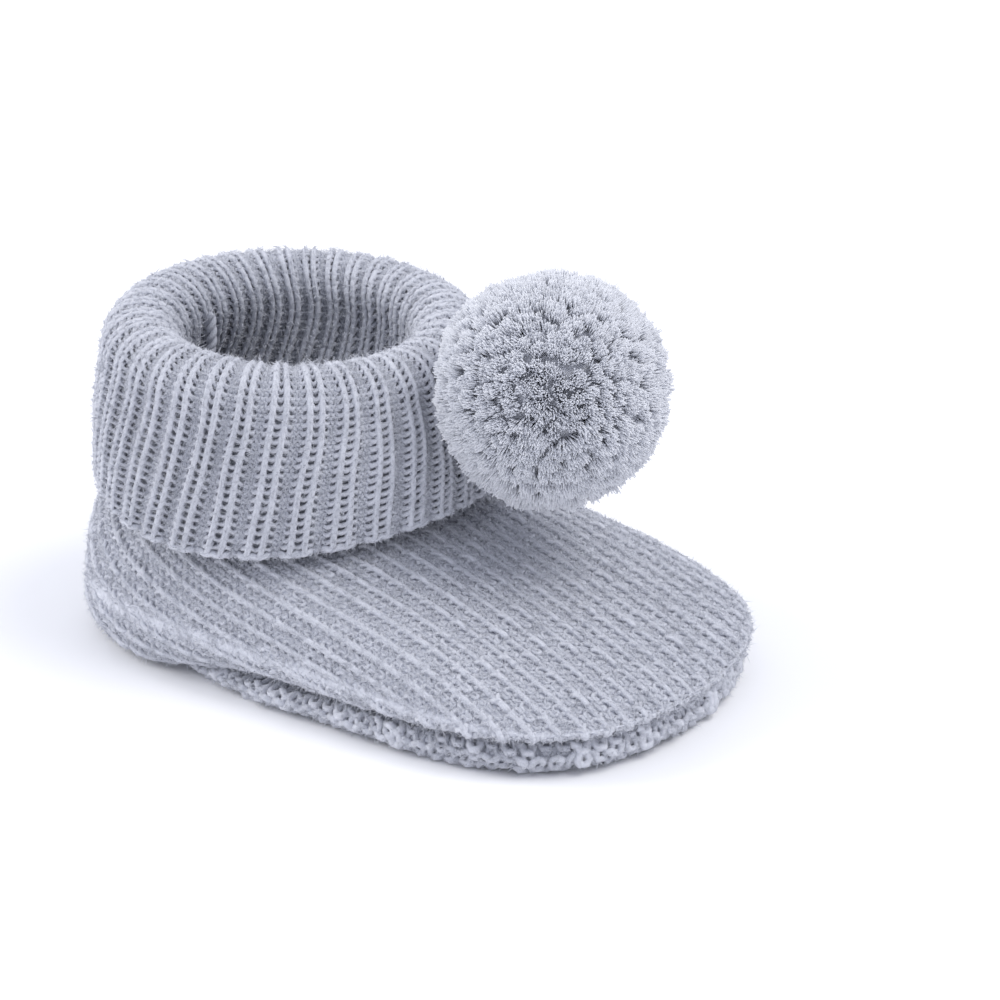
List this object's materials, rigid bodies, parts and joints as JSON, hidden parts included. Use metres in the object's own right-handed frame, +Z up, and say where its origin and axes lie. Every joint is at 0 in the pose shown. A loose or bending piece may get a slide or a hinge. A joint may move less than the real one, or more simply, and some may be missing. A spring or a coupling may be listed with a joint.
{
  "type": "knitted baby bootie",
  "caption": "Knitted baby bootie with garter-stitch sole, ribbed turn-down cuff and a pompom that sways on its stitch at the instep.",
  "frame": {"origin": "on the floor under the middle of the whole bootie", "axes": "+X from heel to toe, +Y to the left of the foot, +Z up"},
  "size_m": [0.1054, 0.0662, 0.0616],
  "materials": {
    "garter_knit": "soft matte garter-stitch knit",
    "foot_knit": "soft matte knit with a fine fibre halo",
    "rib_knit": "soft matte rib knit with a fine fibre halo",
    "seam_yarn": "matte yarn",
    "pile_yarn": "cut yarn pile, very soft"
  },
  "bodies": {
    "bootie": {"sole": "garter_knit", "foot_upper": "foot_knit", "rib_cuff": "rib_knit", "sole_seam": "seam_yarn", "ankle_seam": "seam_yarn", "heel_seam": "seam_yarn", "cuff_seam": "seam_yarn", "anchor_knot": "seam_yarn"},
    "stitch": {"anchor_loop": "seam_yarn"},
    "pompom": {"pompom_tie": "seam_yarn", "pompom_pile": "pile_yarn"}
  },
  "joints": [
    {"name": "pompom_sway", "type": "hinge", "parent": "bootie", "child": "stitch", "pos_m": [0.00759, 0, 0.044], "axis": [0, 0, 1], "range_deg": [-12, 12], "stiffness_Nm_per_rad": 0.008},
    {"name": "pompom_nod", "type": "hinge", "parent": "stitch", "child": "pompom", "pos_m": [0.00759, 0, 0.044], "axis": [0, 1, 0], "range_deg": [-12, 8], "stiffness_Nm_per_rad": 0.008}
  ]
}
